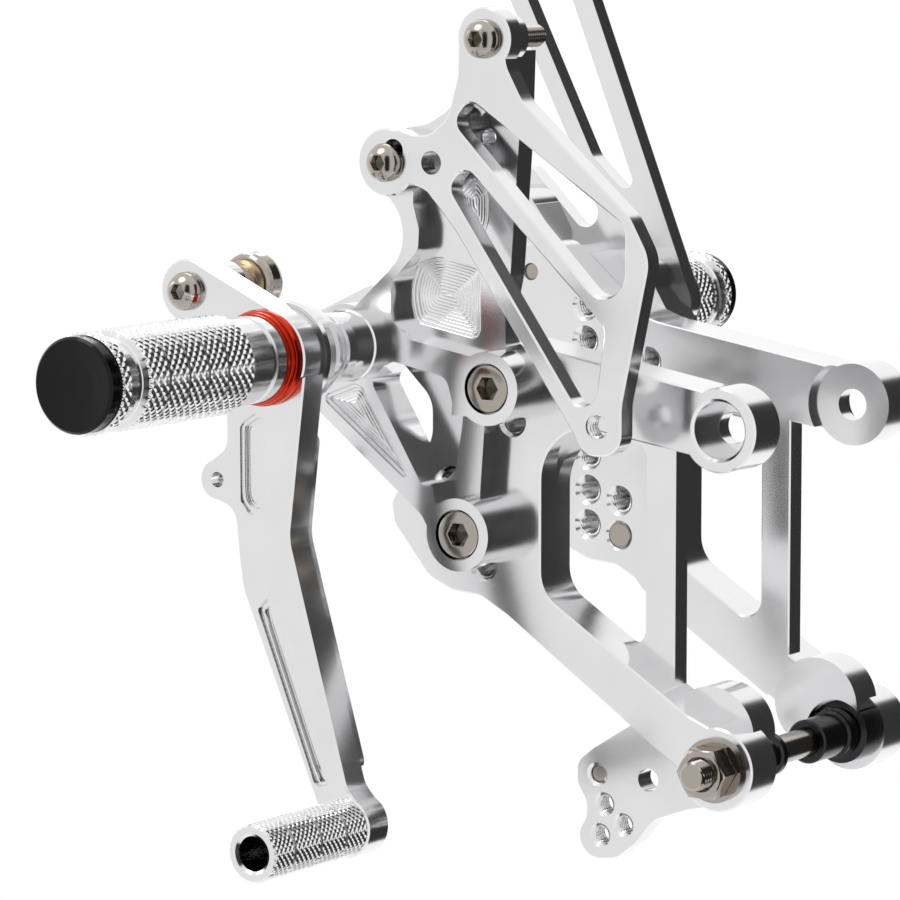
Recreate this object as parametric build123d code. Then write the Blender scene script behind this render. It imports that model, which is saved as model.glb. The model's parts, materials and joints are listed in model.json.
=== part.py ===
from build123d import *
import math
import os

os.makedirs("parts", exist_ok=True)

# Frame: X runs along the machine, Y across it, Z up; the origin is on the axle
# line halfway between the two base plates.  Every piece is first drawn on the
# +Y side, where +Y points outwards, and the left unit is turned over to -Y.

# Stack of plates, as distances from the middle plane
plate_gap = 55.0
post_layer = 6.5
face_layer = 9.0
peg_plate_t = 13.0
web_t = 7.0
guard_t = 6.0
y_inner = plate_gap / 2
y_step = y_inner + post_layer
y_base = y_step + face_layer
y_web = y_base + web_t
y_peg = y_base + peg_plate_t
y_guard = y_peg + guard_t
lug_cut = 2.5
y_lug = y_inner + lug_cut

# Frame lugs of the base plate
upper_lug = (0.2, 91.0)
lower_lug = (0.0, 0.0)
lug_r = 11.4
lug_hole_r = 4.4
lug_bore_r = 7.75
lug_bore_depth = 8.0

# Row of adjusting holes, M8 tapped
bolt_step = (9.4, 40.4)
hole_pitch = 10.0
row_shift = (-10.5, 2.4)
home_hole = (-73.9, 58.9)
m8_core_r = 3.4
m6_core_r = 2.5

# Screws: shank radius, head radius, head height, socket width, socket depth
m8_cap = (4.0, 6.5, 8.0, 6.0, 4.5)
m6_button = (3.0, 5.25, 4.4, 4.0, 2.6)
m5_cap = (2.5, 4.25, 5.0, 4.0, 2.6)
clear_m8 = 4.3
clear_m6 = 3.2
boss_r = 10.0
bore_r = 7.0
bore_depth = 8.2
pivot_boss_r = 11.4

# Footpeg and pivot
peg_r = 13.4
neck_r = 11.8
ring_r = 13.0
cap_r = 12.5
hub_r = 13.0
hub_t = 9.0
arm_back = 3.5
bush_r = 7.0
run_fit = 0.05
ring_w = 5.8
peg_len = 83.0
toe_r = 7.75
toe_len = 41.6
toe_bore_r = 4.7
toe_core_r = 2.1
link_reach = 30.7
link_r = 8.7
spacer_len = 15.5
eye_w = 7.2
link_nut_t = 3.0
flat_half = 0.5


def outline(corners):
    # Closed shape with straight sides; a corner is x, z and its rounding.
    count = len(corners)
    arcs = []
    for i in range(count):
        x, z, r = corners[i]
        before = Vector(corners[i - 1][0] - x, corners[i - 1][1] - z).normalized()
        after = Vector(corners[(i + 1) % count][0] - x, corners[(i + 1) % count][1] - z).normalized()
        at = Vector(x, z)
        if r == 0:
            arcs.append((at, at, at))
            continue
        half = math.radians(before.get_angle(after)) / 2
        cut = r / math.tan(half)
        middle = (before + after).normalized()
        arcs.append((at + before * cut, at + middle * (r / math.sin(half) - r), at + after * cut))
    edges = []
    for i in range(count):
        start, mid, end = arcs[i]
        if (end - start).length > 1e-6:
            edges.append(ThreePointArc(start, mid, end))
        edges.append(Line(end, arcs[(i + 1) % count][0]))
    return Sketch() + make_face(edges)


def disc(at, r):
    return Pos(at[0], at[1]) * Circle(r)


def slab(shape, y0, y1):
    # The shape drawn in X and Z, standing from y0 out to y1.
    plane = Plane(origin=(0, y0, 0), x_dir=(1, 0, 0), z_dir=(0, -1, 0))
    return extrude(plane * shape, amount=-(y1 - y0))


def rod(at, r, y0, y1):
    return slab(disc(at, r), y0, y1)


def turned(at, profile):
    # Profile points are radius and y; the first and last lie on the axis.
    return Pos(at[0], 0, at[1]) * revolve(Polygon(*profile, align=None), Axis.Y)


def eased(body, y, size):
    # Chamfers every edge that lies in the face at y.
    rim = [e for e in body.edges() if abs(e.bounding_box().min.Y - y) < 1e-4 and abs(e.bounding_box().max.Y - y) < 1e-4]
    return chamfer(rim, size)


def spot(at, angle, reach):
    a = math.radians(angle)
    return (at[0] + reach * math.cos(a), at[1] + reach * math.sin(a))


def turn_about(points, centre, angle):
    # Turns x, z, rounding corners about a centre.
    c = math.cos(math.radians(angle))
    s = math.sin(math.radians(angle))
    out = []
    for p in points:
        dx = p[0] - centre[0]
        dz = p[1] - centre[1]
        out.append((centre[0] + c * dx - s * dz, centre[1] + s * dx + c * dz) + tuple(p[2:]))
    return out


def screw(at, seat, size, length, thread=0.0, core=0.0):
    # Round head standing out from the seat, shank running inwards; the tapped
    # length is drawn at the core of the thread.
    shank, head, high, width, deep = size
    tip = core if thread > 0 else shank
    top = seat + high
    if high < head:
        dome = [math.radians(t) for t in (0, 12, 24, 36, 48, 60)]
        crown = [(head * math.cos(t), seat + 0.8 + (high - 0.8) * math.sin(t) / math.sin(dome[5])) for t in dome]
    else:
        crown = [(head, top - 0.5), (head - 0.5, top)]
    profile = [(0, seat - length), (tip - 0.5, seat - length), (tip, seat - length + 0.5)]
    if thread > 0:
        profile += [(tip, seat - length + thread - 0.5), (shank, seat - length + thread)]
    body = turned(at, profile + [(shank, seat), (head, seat)] + crown + [(0, top)])
    socket = Pos(at[0], at[1]) * RegularPolygon(width / 2, 6, major_radius=False)
    return body - slab(socket, top - deep, top + 1)


def hex_nut(at, y0, y1, width, hole):
    shape = Pos(at[0], at[1]) * RegularPolygon(width / 2, 6, major_radius=False)
    corner = width / 2 / math.cos(math.pi / 6)
    cone = turned(at, [(0, y0), (corner - 0.9, y0), (corner, y0 + 0.5), (corner, y1 - 0.5), (corner - 0.9, y1), (0, y1)])
    return (slab(shape, y0, y1) & cone) - rod(at, hole, y0 - 1, y1 + 1)


# Base plate
home_top = (home_hole[0] + bolt_step[0], home_hole[1] + bolt_step[1])
next_row = (home_hole[0] + row_shift[0], home_hole[1] + row_shift[1])
lobe_hole = (-104.0, 123.0)
tapped = [
    home_hole,
    (home_hole[0], home_hole[1] - hole_pitch),
    (next_row[0], next_row[1] + hole_pitch),
    next_row,
    (next_row[0], next_row[1] - hole_pitch),
    home_top,
    (home_top[0], home_top[1] - hole_pitch),
    (home_top[0] + row_shift[0], home_top[1] + row_shift[1]),
    (home_top[0] + row_shift[0], home_top[1] + row_shift[1] - hole_pitch),
    (home_top[0] + 2 * row_shift[0], home_top[1] + 2 * row_shift[1]),
    (home_top[0] + 2 * row_shift[0], home_top[1] + 2 * row_shift[1] + hole_pitch),
]
flange_plug = (-42.6, -7.1)
flange_tapped = [(-40.3, -15.2), (-41.6, -23.9), (-34.2, -20.3)]
flange_plain = (-26.3, -7.0)
window_left = -55.5
post_left = -27.2
post_right = -18.0
face_shape = outline([
    (-112, 130.5, 8), (-98, 131.5, 6), (-83, 118.5, 14), (-62, 110.9, 20), (-3, 101.0, 0), (6, 91, 0),
    (-4, 83.3, 0), (window_left, 91.1, 15), (window_left, 43.1, 10), (-9, 13.9, 6), (2, 9.5, 0), (2, -3, 0),
    (-6.2, -4.6, 0), (-66, 35.6, 8), (-75, 40.5, 6), (-84, 41.2, 8), (-92, 44.5, 8), (-103.5, 58.5, 5),
    (-104.6, 64.5, 5), (-91, 83, 8), (-91, 93.5, 8), (-112.5, 114, 8),
])
face_shape = face_shape + disc(upper_lug, lug_r) + disc(lower_lug, lug_r)
frame_fill = outline([(window_left - 1, 92, 0), (post_right, 86.5, 0), (post_right, 17.5, 0), (window_left - 1, 42, 0)])
window = outline([(window_left, 88.5, 15), (post_left, 84.4, 4.5), (post_left, 25.3, 5), (window_left, 43.1, 10)])
flange = outline([
    (-22, 13, 0), (-27.6, 10.2, 2), (-43.8, -0.1, 3.5), (-48.8, -4.2, 4), (-48.8, -10.2, 5), (-45.7, -14.8, 6),
    (-45.7, -19.2, 6), (-48.6, -24, 5), (-46, -30.8, 6), (-36.5, -29.6, 5), (-30.5, -25, 4), (-24.5, -17.6, 8),
    (-13.5, -13.6, 8), (-2, -11.2, 0), (0, 0, 0),
])
lobe_trim = outline([(-116, 118, 0), (-94, 137.4, 0), (-94, 145, 0), (-125, 145, 0), (-125, 118, 0)])
lip = outline([(-70, 38.5, 0), (-66, 33.8, 8), (-25, 7.2, 0), (-20, 12, 0)])
hub_pad = (-6.4, 7.6)
hub_pad_r = 13.0
hub_pad_h = 5.0


def base_plate(with_flange):
    post_shape = (face_shape + frame_fill + lip) - window
    if with_flange:
        post_shape = post_shape + flange
    body = eased(slab(face_shape, y_step, y_base), y_base, 0.5)
    body = body - slab(lobe_trim, y_step, y_base + 1)
    body = body + eased(slab(post_shape, y_inner, y_step), y_inner, 0.4)
    for lug in (upper_lug, lower_lug):
        body = body - rod(lug, lug_r + 1.2, y_inner - 1, y_lug)
    body = body + rod(hub_pad, hub_pad_r, y_inner - hub_pad_h, y_step)
    body = body - rod(lower_lug, 9.4, y_inner - hub_pad_h - 1, y_lug)
    for lug in (upper_lug, lower_lug):
        body = body - rod(lug, lug_hole_r, y_inner - 10, y_base + 1)
    body = body - turned(upper_lug, [(0, y_base - lug_bore_depth), (lug_bore_r, y_base - lug_bore_depth),
                                     (lug_bore_r, y_base - 0.8), (lug_bore_r + 0.9, y_base + 0.1), (0, y_base + 0.1)])
    for hole in tapped:
        body = body - rod(hole, m8_core_r, y_inner - 1, y_base + 1)
        body = body - turned(hole, [(0, y_inner - 0.1), (m8_core_r + 1.1, y_inner - 0.1), (m8_core_r, y_inner + 1), (0, y_inner + 1)])
        body = body - turned(hole, [(0, y_base - 1), (m8_core_r, y_base - 1), (m8_core_r + 1.1, y_base + 0.1), (0, y_base + 0.1)])
    if not with_flange:
        return body - rod(lobe_hole, m6_core_r, y_inner - 1, y_base + 1)
    for hole in flange_tapped + [flange_plug]:
        body = body - rod(hole, m6_core_r, y_inner - 1, y_step + 1)
        body = body - turned(hole, [(0, y_step - 0.8), (m6_core_r, y_step - 0.8), (m6_core_r + 0.9, y_step + 0.1), (0, y_step + 0.1)])
    body = body - rod(flange_plain, clear_m6, y_inner - 1, y_step + 1)
    return body - rod(lobe_hole, m6_core_r, y_inner - 1, y_base + 1)


# Peg plate of the left unit
left_axis = (-110.4, 108.5)
guard_top = (-61.5, 193.5)
guard_low = (-92.9, 159.6)
left_plate_shape = outline([
    (-57.2, 190, 0), (-58, 166, 0), (-60.7, 129.5, 0), (-62.4, 122, 0), (-62, 104, 0), (-64.5, 97, 0), (-68.8, 91, 0), (-70.4, 70, 0),
    (-70, 60, 0), (-73.9, 55, 0), (-80, 54.5, 0), (-85.5, 63.5, 3), (-121.5, 91.4, 4), (-121.7, 107, 0),
    (-110.4, 108.5, 0), (-107.4, 119.4, 0), (-86.2, 138.6, 13), (-99, 153, 0), (-92.9, 159.6, 0), (-90.5, 168.6, 0),
    (-83.5, 169.8, 6), (-75.8, 174.2, 9), (-71.6, 184.5, 8), (-70.6, 190, 0),
])
recess = outline([
    (-88, 157, 3), (-88.2, 148, 3), (-86.3, 141.5, 3), (-86.6, 135.8, 4), (-95.6, 126.4, 5), (-95.6, 116.6, 5),
    (-89.2, 111.2, 4), (-45, 103.5, 0), (-45, 181, 0), (-62, 176, 4), (-74, 166.5, 5),
])
plate_window = outline([
    (-102.3, 99.2, 3), (-96.2, 105.2, 4), (-77.5, 101.7, 4), (-75.4, 95, 3), (-76.2, 88, 3), (-78.2, 76, 3), (-84.4, 70, 2.5),
])
bridge_cut = outline([(-86, 91.5, 0), (-60, 91.5, 0), (-60, 67, 0), (-81, 67, 0)])
ring_pocket = outline([(-119.2, 93.9, 1.8), (-107.6, 98.4, 3), (-105, 97.4, 1.5), (-86.7, 69.6, 1.2)])
square_pocket = outline([(-91, 131.5, 3), (-84.5, 134, 3), (-70.3, 131.3, 3), (-70.1, 111.3, 3), (-91.5, 115.2, 3), (-93.4, 123.5, 4)])
oval_pocket = outline([(-78, 151.2, 3), (-72.2, 156.6, 3), (-67.6, 151.5, 2.5), (-67.6, 143.8, 2.5), (-70.2, 137.6, 1.8), (-77.2, 145.6, 3)])
floor_hole = (-67.8, 166.6)
floor_pit = (-69.7, 171.0)


def bolt_boss(body, at):
    body = body + rod(at, boss_r, y_base, y_peg)
    body = body - rod(at, bore_r, y_peg - bore_depth, y_peg + 1)
    return body - rod(at, clear_m8, y_base - 1, y_peg + 1)


def stepped_pocket(body, shape, top, depth, steps):
    # Rings left by the cutter: each pass is a little smaller and deeper.
    for i in range(steps):
        body = body - slab(offset(shape, amount=-1.1 * i), top - depth * (i + 1) / steps, top + 0.01)
    return body


def left_peg_plate():
    body = slab(left_plate_shape, y_base, y_peg)
    body = body + rod(guard_low, 9.0, y_base, y_peg) + rod(left_axis, pivot_boss_r, y_base, y_peg)
    body = body - slab(plate_window, y_base - 1, y_peg + 1)
    body = body - slab(recess + disc(floor_pit, 4.3), y_web, y_peg + 1)
    body = body - slab(bridge_cut, y_web, y_peg + 1)
    body = body + rod(guard_top, 6.6, y_web, y_peg)
    for at in (home_hole, home_top):
        body = bolt_boss(body, at)
    body = stepped_pocket(body, ring_pocket, y_peg, 1.6, 2)
    body = stepped_pocket(body, square_pocket, y_web, 1.2, 3)
    body = stepped_pocket(body, oval_pocket, y_web, 1.2, 2)
    body = body - rod(floor_hole, m6_core_r, y_base - 1, y_peg)
    for at in (guard_top, guard_low):
        body = body - rod(at, m6_core_r + 0.6, y_base - 1, y_peg + 1)
    body = body - rod(left_axis, clear_m8, y_base - 1, y_peg + 1)
    return body - rod(left_axis, bore_r, y_base - 1, y_base + bore_depth)


# Peg plate of the right unit, bolted one hole lower
right_axis = (-124.3, 106.0)
right_home = (home_hole[0], home_hole[1] - hole_pitch)
right_top = (home_top[0], home_top[1] - hole_pitch)
right_guard_high = (-120.6, 136.8)
right_guard_low = (-95.0, 118.8)
right_lobe = (-80.5, 119.6)
right_plate_shape = outline([
    (-120.6, 145.8, 0), (-112.5, 141, 0), (-101.5, 126.5, 6), (-95, 126.5, 0), (-88, 125, 0), (-80.5, 128, 0), (-73, 121, 0), (-60, 100, 0),
    (right_top[0], right_top[1], 0), (-66, 80, 6), (-66, 56, 4), (-64.2, 49, 0), (right_home[0], right_home[1], 0), (-83.5, 49, 0), (-83, 60, 4),
    (-90, 82, 10), (-112, 88, 10), (-124.3, 94.8, 0), (right_axis[0], right_axis[1], 0), (-135.4, 108, 0), (-129.6, 137, 0),
])
right_recess = outline([(-111, 125, 4), (-102, 118, 4), (-86, 120, 4), (-74, 117, 4), (-70, 104, 4), (-80, 93, 5), (-104, 95, 5), (-107, 110, 4)])


def right_peg_plate():
    body = slab(right_plate_shape, y_base, y_peg) + rod(right_lobe, 9.0, y_base, y_peg) + rod(right_axis, pivot_boss_r, y_base, y_peg)
    body = body - slab(right_recess, y_web, y_peg + 1)
    for at in (right_guard_high, right_guard_low):
        body = body + rod(at, 9.0, y_base, y_peg)
    for at in (right_home, right_top):
        body = bolt_boss(body, at)
    for at in (right_guard_high, right_guard_low):
        body = body - rod(at, m6_core_r + 0.6, y_base - 1, y_peg + 1)
    body = body - rod(right_axis, clear_m8, y_base - 1, y_peg + 1)
    return body - rod(right_axis, bore_r, y_base - 1, y_base + bore_depth)


# Heel guards
guard_edge = [
    (-69.6, 194, 4), (-69.9, 183.5, 8), (-73.2, 172, 8), (-80, 166.6, 8), (-88, 168.4, 0), (-92.9, 168.6, 0),
    (-92.9, 150.6, 0), (-88.5, 153.6, 5), (-81.5, 154, 8), (-70.6, 142, 10), (-33.6, 90.5, 6), (-30.5, 84.5, 6),
    (-25.5, 84.2, 5), (-18.3, 85.2, 6), (-18.3, 98, 12), (-14.3, 116.4, 0), (-9.8, 137, 10), (-16, 148, 10),
    (-49.5, 177.2, 14), (-54.5, 186, 8), (-56, 194, 4), (-60, 201.5, 6), (-67, 201, 6),
]
upper_slot = [(-71.6, 171, 3.8), (-66.4, 177.6, 3.8), (-17.4, 145.6, 4.5), (-17.4, 117.3, 6.6)]
lower_slot = [(-73.2, 153.6, 3.8), (-67.6, 159.6, 3.8), (-23.4, 118.6, 5), (-26.3, 98.4, 4.5), (-32.8, 97.2, 4)]
tip_hole = (-25.7, 92.2)
small_hole = (-78.3, 160.0)
slot_end = (-90.6, 162.8)
right_guard_edge = [
    (-64.6, 107.8, 5.6), (-110.9, 224, 6), (-143, 226, 8), (-87.1, 115.7, 4.4), (-129.4, 158, 5),
    (-129.4, 127.4, 8.4), (-104, 127.4, 6), (-104, 109.8, 9),
]
right_guard_slot = [(-113.3, 213, 5), (-131.5, 215.4, 5), (-101.1, 154.8, 8), (-90.8, 145.4, 2.4), (-86.7, 146.8, 2.4)]
right_tip_hole = (-72.9, 113.4)
right_slot_end = (-122.0, 140.0)


def heel_guard(edge, lobes, slots, low, end, holes):
    shape = outline(edge)
    for at, r in lobes:
        shape = shape + disc(at, r)
    for slot in slots:
        shape = shape - outline(slot)
    body = eased(slab(shape, y_peg, y_guard), y_guard, 0.5)
    middle = ((low[0] + end[0]) / 2, (low[1] + end[1]) / 2)
    tilt = math.degrees(math.atan2(end[1] - low[1], end[0] - low[0]))
    reach = math.hypot(end[0] - low[0], end[1] - low[1])
    track = Pos(middle[0], middle[1]) * Rot(0, 0, tilt) * SlotCenterToCenter(reach, 2 * clear_m6)
    body = body - slab(track, y_peg - 1, y_guard + 1)
    for hole, r in holes:
        body = body - rod(hole, r, y_peg - 1, y_guard + 1)
    return body


# Foot lever, drawn hanging straight down from the pivot
def lever(at, y_back, turn, link_angle):
    y_front = y_back + hub_t
    shift = (at[0] - left_axis[0], at[1] - left_axis[1])

    def place(points):
        moved = [(p[0] + shift[0], p[1] + shift[1]) + tuple(p[2:]) for p in points]
        return turn_about(moved, at, turn)

    toe = place([(-85.1, -16.6)])[0]
    tab = place([(-126.8, 74.3)])[0]
    link = spot(at, link_angle, link_reach)
    a = math.radians(link_angle + 90)
    side = (math.cos(a), math.sin(a))
    arm = outline(place([
        (-123.3, 108.5, 0), (-123.3, 83, 5), (-128.5, 79.4, 0), (-128, 69.4, 0), (-120.6, 67, 6), (-119.3, 54, 10),
        (-118.2, 45.5, 12), (-92.9, -13.5, 0), (-85.1, -16.6, 0), (-77.6, -13.2, 0), (-84.2, -6, 7), (-99.4, 47.5, 14),
        (-102.9, 60, 14), (-97.5, 104, 0),
    ]))
    short = outline([
        (at[0] + side[0] * hub_r, at[1] + side[1] * hub_r, 0), (link[0] + side[0] * link_r, link[1] + side[1] * link_r, 0),
        (link[0] - side[0] * link_r, link[1] - side[1] * link_r, 0), (at[0] - side[0] * hub_r, at[1] - side[1] * hub_r, 0),
    ])
    shape = arm + short + disc(at, hub_r) + disc(toe, 8.3) + disc(tab, 5.3) + disc(link, link_r)
    body = eased(slab(shape, y_back, y_front), y_front, 0.5)
    thick = outline(place([
        (-121, 88, 3), (-120.8, 80, 5), (-117.8, 53, 12), (-116.6, 45.5, 12), (-95, -3.5, 3), (-86, -3.5, 3),
        (-100.7, 47.5, 14), (-104.2, 60, 14), (-101, 88, 3),
    ]))
    body = body + slab(thick, y_back - arm_back, y_back + 1)
    panel = outline(place([(-137, 95.2, 0), (-113, 95.2, 3), (-103.2, 92, 3), (-102.9, 88.4, 1), (-111, 66, 0), (-119.8, 49, 0), (-137, 49, 0)]))
    body = body - slab(panel - disc(at, hub_r + 1.4), y_front - flat_half, y_front + 1)
    pocket_a = outline(place([(-119.1, 90, 2.5), (-114.3, 93.2, 2.5), (-107, 93.2, 3), (-103.6, 88.6, 2.5), (-111.2, 66.4, 1.8), (-116, 65.4, 2), (-119, 69, 2)]))
    pocket_b = outline(place([(-113.2, 40.2, 1.4), (-110, 43.6, 1.4), (-101.6, 37, 2.4), (-89.2, -5.2, 2), (-94.2, -6.8, 2)]))
    body = stepped_pocket(body, pocket_a, y_front, 2.4, 2)
    body = stepped_pocket(body, pocket_b, y_front, 2.0, 2)
    body = body - rod(at, bush_r + run_fit, y_back - 5, y_front + 1)
    body = body - rod(toe, toe_core_r, y_back - 5, y_front + 1)
    body = body - rod(tab, 2.1, y_back - 5, y_front + 1)
    return body - rod(link, 3.1, y_back - 5, y_front + 1), toe, link


def footpeg(at, y0):
    # y0 is the face against the red ring; bands of knurl stay plain here.
    start = y0
    bands = [start + 19.7 + 8.42 * i for i in range(6)]
    profile = [(0, start), (neck_r - 0.5, start), (neck_r, start + 0.5), (neck_r, start + 4.1), (neck_r - 1, start + 4.6),
               (neck_r - 1, start + 5.8), (neck_r, start + 6.3), (neck_r, start + 14.8), (neck_r + 0.8, start + 16),
               (peg_r - 0.6, start + 16.7), (peg_r, start + 17.4)]
    for edge in bands[1:5]:
        profile += [(peg_r, edge - 0.35), (peg_r - 0.7, edge - 0.2), (peg_r - 0.7, edge + 0.2), (peg_r, edge + 0.35)]
    last = bands[5]
    end = y0 + peg_len - ring_w
    cap_seat = end - 4.3
    profile += [(peg_r, last - 0.6), (peg_r - 0.6, last), (11.2, last + 0.6), (11.2, last + 6.6), (peg_r - 0.6, last + 7.6),
                (peg_r, last + 8.2), (peg_r, cap_seat - 0.6), (peg_r - 0.6, cap_seat), (0, cap_seat)]
    body = turned(at, profile)
    body = body - rod(at, m8_core_r + 0.65, start - 1, start + 32)
    body = body - rod(at, 8.2, cap_seat - 5.1, cap_seat + 1)
    cap = turned(at, [(0, cap_seat - 5), (8, cap_seat - 5), (8, cap_seat), (cap_r - 0.4, cap_seat), (cap_r, cap_seat + 0.4), (cap_r, end - 0.7),
                      (cap_r - 0.7, end), (9.5, end - 0.35), (6, end - 0.8), (0, end - 1.2)])
    return body, cap


def red_ring(at, y0):
    inner = m8_core_r + 0.95
    y1 = y0 + ring_w
    profile = [(inner, y0), (ring_r - 0.4, y0), (ring_r, y0 + 0.5), (ring_r, y0 + 2.0), (ring_r - 0.3, y0 + 2.7), (ring_r - 1.1, y0 + 3.0),
               (ring_r - 1.1, y0 + 3.4), (ring_r - 0.4, y0 + 3.7), (ring_r - 0.5, y0 + 4.4), (ring_r - 1.4, y0 + 4.7), (ring_r - 1.4, y0 + 5.0),
               (ring_r - 0.8, y0 + 5.2), (ring_r - 0.9, y1), (inner, y1)]
    return turned(at, profile)


def toe_peg(at, y0):
    y1 = y0 + toe_len
    profile = [(0, y0), (toe_r - 0.4, y0), (toe_r, y0 + 0.4)]
    for edge in (y0 + 9.2, y0 + 20.8, y0 + 32.9):
        profile += [(toe_r, edge - 0.9), (toe_r - 0.8, edge - 0.4), (toe_r - 0.8, edge + 0.4), (toe_r, edge + 0.9)]
    profile += [(toe_r, y1 - 0.6), (toe_r - 0.6, y1), (0, y1)]
    body = turned(at, profile)
    body = body - rod(at, 2.7, y0 - 1, y1) - rod(at, toe_bore_r, y0 + 6, y1 + 1)
    return body - turned(at, [(0, y1 - 0.6), (toe_bore_r, y1 - 0.6), (toe_bore_r + 0.8, y1 + 0.2), (0, y1 + 0.2)])


def lever_side(at, sleeve, turn, link_angle):
    # Everything on the pivot line and on the lever, from the plate outwards.
    y_back = y_peg + sleeve
    y_front = y_back + hub_t
    clamp = y_front + 0.1
    parts = {}
    if sleeve > 20:
        profile = [(clear_m8, y_peg), (10.1, y_peg), (9.7, y_peg + 0.5), (9.6, y_back - 21), (9.8, y_back - 17), (10.2, y_back - 15), (10.8, y_back - 13.3),
                   (11.6, y_back - 11.6), (12.5, y_back - 9.6), (13.3, y_back - 7.2), (14.0, y_back - 4.4), (14.5, y_back - 1.2),
                   (14.0, y_back - 0.1), (clear_m8, y_back - 0.1)]
    else:
        profile = [(clear_m8, y_peg), (10.0, y_peg), (10.0, y_back - 0.6), (9.5, y_back - 0.1), (clear_m8, y_back - 0.1)]
    parts["pivot_sleeve"] = turned(at, profile)
    parts["lever_bush"] = rod(at, bush_r, y_back - 0.1, clamp) - rod(at, clear_m8, y_back - 1, clamp + 1)
    parts["lever"], toe, link = lever(at, y_back, turn, link_angle)
    parts["peg_ring"] = red_ring(at, clamp)
    parts["footpeg"], parts["peg_cap"] = footpeg(at, clamp + ring_w)
    seat = y_base + bore_depth
    bolt = mirror(screw(at, -seat, m8_cap, clamp + ring_w + 24 - seat), about=Plane.XZ)
    parts["peg_bolt"] = bolt
    parts["toe_peg"] = toe_peg(toe, y_front)
    parts["toe_peg_bolt"] = screw(toe, y_front + 6, m5_cap, 14, 9, toe_core_r - run_fit)
    head = y_front
    y_spacer = y_back - spacer_len
    parts["link_bolt"] = screw(link, head, m6_button, hub_t + spacer_len + eye_w + link_nut_t + 2.7)
    parts["link_spacer"] = turned(link, [(3.1, y_spacer), (4.8, y_spacer), (6.0, y_spacer + 2.6), (6.9, y_spacer + 6), (7.5, y_back), (3.1, y_back)])
    y_ring = y_spacer - 2 - eye_w
    parts["link_bush"] = turned(link, [(3.1, y_ring - 0.3), (5.2, y_ring - 0.3), (5.2, y_spacer - 1.8), (6.8, y_spacer - 1.8),
                                       (6.6, y_spacer - 0.6), (5.8, y_spacer), (3.1, y_spacer)])
    ring_in = 5.2 + run_fit
    parts["link_ring"] = turned(link, [(ring_in, y_ring), (7.2, y_ring), (8.1, y_ring + 0.6), (8.5, y_ring + 1.8), (8.5, y_ring + 5.2),
                                       (8.1, y_ring + 6.5), (7.4, y_ring + eye_w), (ring_in, y_ring + eye_w)])
    y_nut = y_ring - 0.3 - link_nut_t
    parts["link_nut"] = hex_nut(link, y_nut, y_nut + link_nut_t, 10.0, 3.05)
    return parts


def frame_side(home, top, first, second, guard, base, plate):
    parts = {"base_plate": base, "peg_plate": plate, "heel_guard": guard}
    seat = y_peg - bore_depth
    reach = seat - y_base
    low = screw(home, seat, m8_cap, 20, 20 - reach, m8_core_r - run_fit)
    high = screw(top, seat, m8_cap, 20, 20 - reach, m8_core_r - run_fit)
    parts["plate_bolts"] = Compound(children=[low, high])
    parts["guard_bolts"] = Compound(children=[screw(first, y_guard, m6_button, 27), screw(second, y_guard, m6_button, 18)])
    parts["lobe_screw"] = turned(lobe_hole, [(0, y_inner + 0.8), (2.1, y_inner + 0.8), (2.5, y_inner + 1.2), (2.5, y_base - 1), (0, y_base - 1)])
    return parts


left_guard = heel_guard(guard_edge, [(guard_low, 9.2), (guard_top, 8.4)], [upper_slot, lower_slot], guard_low, slot_end,
                        [(guard_top, clear_m6), (small_hole, clear_m6), (tip_hole, m8_core_r)])
right_guard = heel_guard(right_guard_edge, [], [right_guard_slot],
                         right_guard_high, right_slot_end, [(right_guard_low, clear_m6), (right_tip_hole, m8_core_r)])
left = frame_side(home_hole, home_top, guard_top, guard_low, left_guard, base_plate(True), left_peg_plate())
left.update(lever_side(left_axis, 29.0, 0.0, 147.5))
left["flange_plug"] = turned(flange_plug, [(0, y_inner + 0.2), (2.1, y_inner + 0.2), (2.5, y_inner + 0.6), (2.5, y_step - 1.6), (2.1, y_step - 1.2), (0, y_step - 1.2)])
right = frame_side(right_home, right_top, right_guard_high, right_guard_low, right_guard, base_plate(False), right_peg_plate())
right.update(lever_side(right_axis, 10.0, -88.0, -100.0))

# Axle that joins the two units, with its collars
washer_t = 1.6
axle_r = 4.0
nut_t = 6.5
axle = turned(lower_lug, [(0, -y_base - 12.2), (axle_r - 0.7, -y_base - 12.2), (axle_r, -y_base - 11.5), (axle_r, y_base + washer_t), (0, y_base + washer_t)])
axle = axle + hex_nut(lower_lug, y_base + washer_t, y_base + washer_t + 5.3, 13.0, 0.5) + rod(lower_lug, 1, y_base + washer_t, y_base + washer_t + 5.3)
washer = rod(lower_lug, 8.75, y_base, y_base + washer_t) - rod(lower_lug, axle_r + 0.2, y_base - 1, y_base + 3)
nut = hex_nut(lower_lug, y_base + washer_t, y_base + washer_t + nut_t, 13.0, axle_r + 0.02)
collar_in = axle_r + 0.1
left_collar = turned(lower_lug, [(collar_in, 14), (5.6, 14), (6.1, 14.5), (6.1, 16.5), (5.5, 17.2), (5.2, 17.8), (5.2, 19), (5.7, 19.6), (5.7, y_lug), (collar_in, y_lug)])
right_collar = turned(lower_lug, [(collar_in, 6), (5.6, 6), (6.1, 6.5), (6.1, 18.6), (6.8, 19.2), (6.8, 20), (6.1, 20.6), (6.1, 21.4), (7.2, 22), (7.2, 22.8),
                                  (6.4, 23.4), (6.4, 24), (8.8, 24.6), (8.8, y_lug), (collar_in, y_lug)])

nodes = {}
for name, shape in left.items():
    nodes["left_" + name] = mirror(shape, about=Plane.XZ)
for name, shape in right.items():
    nodes["right_" + name] = shape
nodes["axle_bolt"] = axle
nodes["axle_nut"] = mirror(nut, about=Plane.XZ)
nodes["axle_washers"] = Compound(children=[washer, mirror(washer, about=Plane.XZ)])
nodes["left_axle_collar"] = mirror(left_collar, about=Plane.XZ)
nodes["right_axle_collar"] = right_collar

for name, shape in nodes.items():
    export_step(shape, "parts/" + name + ".step")
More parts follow.
